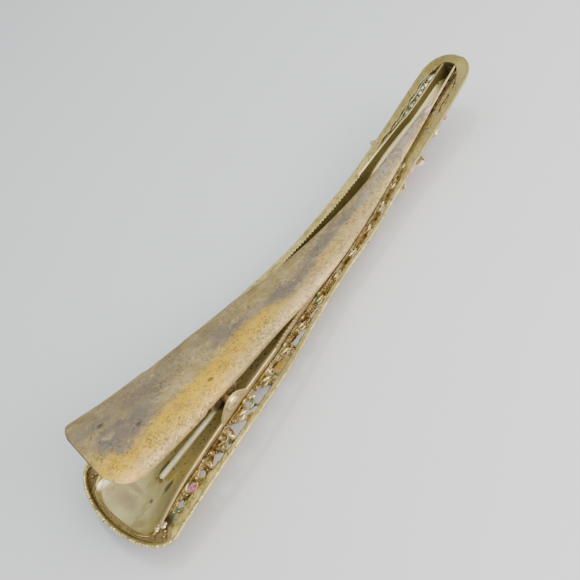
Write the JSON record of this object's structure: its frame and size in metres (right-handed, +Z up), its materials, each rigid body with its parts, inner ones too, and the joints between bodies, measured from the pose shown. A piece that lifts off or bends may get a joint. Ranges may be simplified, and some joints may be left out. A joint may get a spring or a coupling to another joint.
{
  "type": "hair clip",
  "caption": "Long tapered beak clip with a sprung, arched lever over a toothed channel and a cast openwork front with flowers and stones.",
  "frame": {"origin": "middle of the clip's bounding box in plan, on the surface that the clip lies on", "axes": "+X from the wide finger end to the tip, +Y to the clip's left, +Z up from the decorated front towards the lever"},
  "size_m": [0.1298, 0.0282, 0.0247],
  "materials": {
    "old_gilt": "worn gilding with green and brown patina",
    "worn_gilt": "matte worn gilding, stained grey and tan",
    "spring_steel": "dull plated wire with rust at the cut end",
    "pink_paste": "clear faceted pink paste"
  },
  "bodies": {
    "base": {"front_casting": "old_gilt", "lower_channel": "old_gilt", "pivot_rivet": "old_gilt", "torsion_spring": "spring_steel", "flower_wide": "old_gilt", "flower_middle": "old_gilt", "flower_tip": "old_gilt", "leaf_01": "old_gilt", "leaf_02": "old_gilt", "leaf_03": "old_gilt", "leaf_04": "old_gilt", "leaf_05": "old_gilt", "leaf_06": "old_gilt", "leaf_07": "old_gilt", "leaf_08": "old_gilt", "leaf_09": "old_gilt", "bud_tip": "old_gilt", "stone_01": "pink_paste", "stone_02": "pink_paste", "stone_03": "pink_paste", "stone_04": "pink_paste", "stone_05": "pink_paste", "stone_06": "pink_paste", "stone_07": "pink_paste", "stone_08": "pink_paste", "stone_09": "pink_paste"},
    "lever": {"lever_arm": "worn_gilt"}
  },
  "joints": [
    {"name": "lever_pivot", "type": "hinge", "parent": "base", "child": "lever", "pos_m": [-0.03395, 0, 0.0123], "axis": [0, -1, 0], "range_deg": [0, 26], "stiffness_Nm_per_rad": 0.6, "springref_deg": -28.65, "deforming": ["torsion_spring"]}
  ]
}
